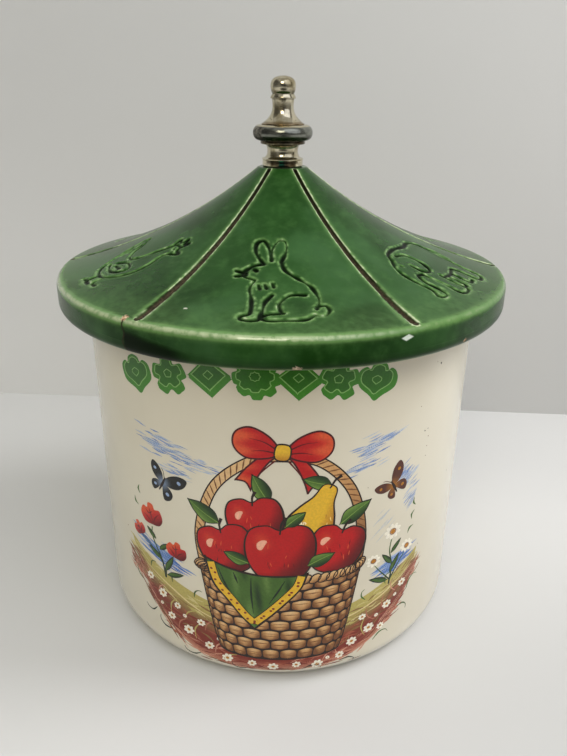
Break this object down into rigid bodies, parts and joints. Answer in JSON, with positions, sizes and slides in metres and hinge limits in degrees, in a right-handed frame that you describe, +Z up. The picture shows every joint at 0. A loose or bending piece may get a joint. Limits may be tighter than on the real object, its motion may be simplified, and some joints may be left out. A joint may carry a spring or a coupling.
{
  "type": "biscuit jar",
  "caption": "Round glazed stoneware biscuit jar with a lift-off tent-shaped lid, radial grooves in its roof and a turned metal finial bolted through the crown.",
  "frame": {"origin": "centre of the jar's foot, on the surface that it stands on", "axes": "+Z up along the common axis of jar, lid and finial; -Y towards the front"},
  "size_m": [0.216, 0.216, 0.2675],
  "materials": {
    "cream_glaze": "clear gloss glaze over a cream body",
    "green_glaze": "deep green gloss glaze that breaks lighter on edges",
    "plated_brass": "pale polished plating, slightly tarnished",
    "worn_metal": "plating worn through to grey die-cast metal",
    "zinc_steel": "dull zinc plate",
    "fibre": "matt dark fibre"
  },
  "bodies": {
    "jar": {"jar_body": "cream_glaze"},
    "finial": {"finial_cushion_washer": "fibre", "finial_base_collar": "plated_brass", "finial_lower_spool": "plated_brass", "finial_grip_ring": "worn_metal", "finial_bell_neck": "plated_brass", "finial_check_ring": "plated_brass", "finial_ball_cap": "plated_brass", "threaded_rod": "zinc_steel", "inner_fibre_washer": "fibre", "inner_steel_washer": "zinc_steel", "lock_nut": "zinc_steel"},
    "lid": {"lid": "green_glaze"}
  },
  "joints": [
    {"name": "lid_lift", "type": "slide", "parent": "jar", "child": "finial", "axis": [0, 0, 1], "range_m": [0, 0.12]},
    {"name": "lid_turn", "type": "hinge", "parent": "finial", "child": "lid", "pos_m": [0, 0, 0.171], "axis": [0, 0, 1], "continuous": true}
  ]
}
